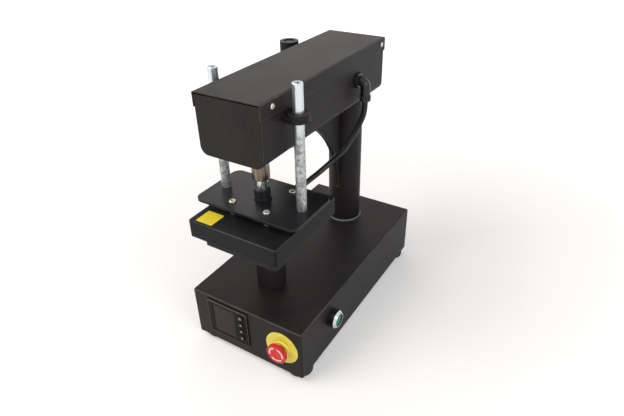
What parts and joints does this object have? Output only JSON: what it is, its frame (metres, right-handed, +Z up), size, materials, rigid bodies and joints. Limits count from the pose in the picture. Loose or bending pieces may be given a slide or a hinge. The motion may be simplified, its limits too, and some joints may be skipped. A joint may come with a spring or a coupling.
{
  "type": "pneumatic heat press",
  "caption": "Bench heat press with a box base, round column, air cylinder head, guided heated platen, padded lower platen, timer panel and stop button.",
  "frame": {"origin": "on the bench, under the middle of the press's box, at the bottom of the feet", "axes": "+Z up, the front with the controller faces -Y, +X is the operator's right"},
  "size_m": [0.228, 0.4024, 0.437],
  "materials": {
    "powder_black": "fine texture powder coat, black, semi-gloss",
    "plate_black": "gloss black coat",
    "platen_black": "satin black heat resistant coat",
    "zinc_steel": "zinc plated, partly dulled",
    "screw_steel": "bright nickel plated",
    "plain_steel": "bare sheet and bolts",
    "rod_chrome": "hard chrome, ground",
    "black_steel": "blackened steel",
    "aluminium": "machined aluminium",
    "foot_rubber": "black moulded rubber",
    "pad_silicone": "dark silicone sponge",
    "cable_rubber": "glossy black cable sheath",
    "board": "ceramic fibre board",
    "element_steel": "steel sheathed heating tube",
    "black_plastic": "moulded black plastic",
    "window_plastic": "smoked window",
    "key_plastic": "grey-black key tops",
    "stop_yellow": "yellow disc",
    "stop_red": "red mushroom head",
    "button_chrome": "chrome bezel with a dark barrel",
    "button_green": "green lens",
    "relay_plastic": "light moulded plastic",
    "brass_nickel": "brass fittings",
    "tube_blue": "blue air tube",
    "regulator_grey": "die cast body, grey",
    "bowl_clear": "cloudy bowl",
    "dial_white": "black case with a white dial",
    "needle_red": "red needle",
    "rocker_black": "black rocker"
  },
  "bodies": {
    "press_frame": {"air_fittings": "brass_nickel", "air_tubes": "tube_blue", "base_feet": "foot_rubber", "base_plate": "plain_steel", "base_shell": "powder_black", "cable_elbow": "black_plastic", "column_flanges": "powder_black", "column_gusset": "powder_black", "column_tube": "powder_black", "contact_blocks": "black_plastic", "controller_case": "black_plastic", "controller_window": "window_plastic", "cover_screws": "screw_steel", "cylinder_body": "aluminium", "cylinder_bolts": "plain_steel", "cylinder_cover": "aluminium", "elbow_nut": "black_plastic", "estop_collar": "black_plastic", "estop_ring": "stop_yellow", "filter_bowl": "bowl_clear", "gauge_case": "dial_white", "guide_brackets": "powder_black", "guide_bushes": "powder_black", "head_channel": "powder_black", "head_front_panel": "powder_black", "head_lid": "powder_black", "head_rear_panel": "powder_black", "heater_cable": "cable_rubber", "lower_pad": "pad_silicone", "lower_platen": "aluminium", "pedestal_post": "powder_black", "platen_screws": "plain_steel", "power_inlet": "black_plastic", "power_relay": "relay_plastic", "regulator_body": "regulator_grey", "solenoid_valve": "black_plastic", "start_bezels": "button_chrome"},
    "carriage": {"piston": "aluminium", "piston_rod": "rod_chrome", "rod_coupling": "black_steel", "mounting_plate": "plate_black", "guide_rods": "zinc_steel", "platen_spacers": "zinc_steel", "platen_fasteners": "screw_steel", "platen_cover": "platen_black", "insulation": "board", "heating_plate": "aluminium", "heating_element": "element_steel", "platen_gland": "black_plastic"},
    "estop_plunger": {"estop_stem": "black_plastic"},
    "estop_head": {"estop_mushroom": "stop_red"},
    "start_button_right": {"start_cap_right": "button_green"},
    "start_button_left": {"start_cap_left": "button_green"},
    "set_key": {"key_1": "key_plastic"},
    "shift_key": {"key_2": "key_plastic"},
    "down_key": {"key_3": "key_plastic"},
    "up_key": {"key_4": "key_plastic"},
    "power_rocker": {"rocker_switch": "rocker_black"},
    "pressure_knob": {"regulator_knob": "black_plastic"},
    "pressure_needle": {"gauge_needle": "needle_red"}
  },
  "joints": [
    {"name": "press_stroke", "type": "slide", "parent": "press_frame", "child": "carriage", "axis": [0, 0, 1], "range_m": [0, 0.03], "deforming": ["heater_cable"]},
    {"name": "estop_press", "type": "slide", "parent": "press_frame", "child": "estop_plunger", "axis": [0, 1, 0], "range_m": [0, 0.005], "stiffness_N_per_m": 900},
    {"name": "estop_twist", "type": "hinge", "parent": "estop_plunger", "child": "estop_head", "pos_m": [0.066, -0.18422, 0.0595], "axis": [0, 1, 0], "range_deg": [0, 45], "stiffness_Nm_per_rad": 0.05},
    {"name": "start_press_right", "type": "slide", "parent": "press_frame", "child": "start_button_right", "axis": [-1, 0, 0], "range_m": [0, 0.0035], "stiffness_N_per_m": 600},
    {"name": "start_press_left", "type": "slide", "parent": "press_frame", "child": "start_button_left", "axis": [1, 0, 0], "range_m": [0, 0.0035], "stiffness_N_per_m": 600},
    {"name": "set_key_press", "type": "slide", "parent": "press_frame", "child": "set_key", "axis": [0, 1, 0], "range_m": [0, 0.001], "stiffness_N_per_m": 1000},
    {"name": "shift_key_press", "type": "slide", "parent": "press_frame", "child": "shift_key", "axis": [0, 1, 0], "range_m": [0, 0.001], "stiffness_N_per_m": 1000},
    {"name": "down_key_press", "type": "slide", "parent": "press_frame", "child": "down_key", "axis": [0, 1, 0], "range_m": [0, 0.001], "stiffness_N_per_m": 1000},
    {"name": "up_key_press", "type": "slide", "parent": "press_frame", "child": "up_key", "axis": [0, 1, 0], "range_m": [0, 0.001], "stiffness_N_per_m": 1000},
    {"name": "power_switch", "type": "hinge", "parent": "press_frame", "child": "power_rocker", "pos_m": [-0.05, 0.19328, 0.0725], "axis": [1, 0, 0], "range_deg": [0, 20]},
    {"name": "pressure_setting", "type": "hinge", "parent": "press_frame", "child": "pressure_knob", "pos_m": [-0.083, 0.08578, 0.4], "axis": [0, 0, 1], "range_deg": [0, 1080]},
    {"name": "pressure_reading", "type": "hinge", "parent": "press_frame", "child": "pressure_needle", "pos_m": [-0.083, 0.04578, 0.366], "axis": [0, 1, 0], "range_deg": [0, 270], "stiffness_Nm_per_rad": 0.0005}
  ]
}
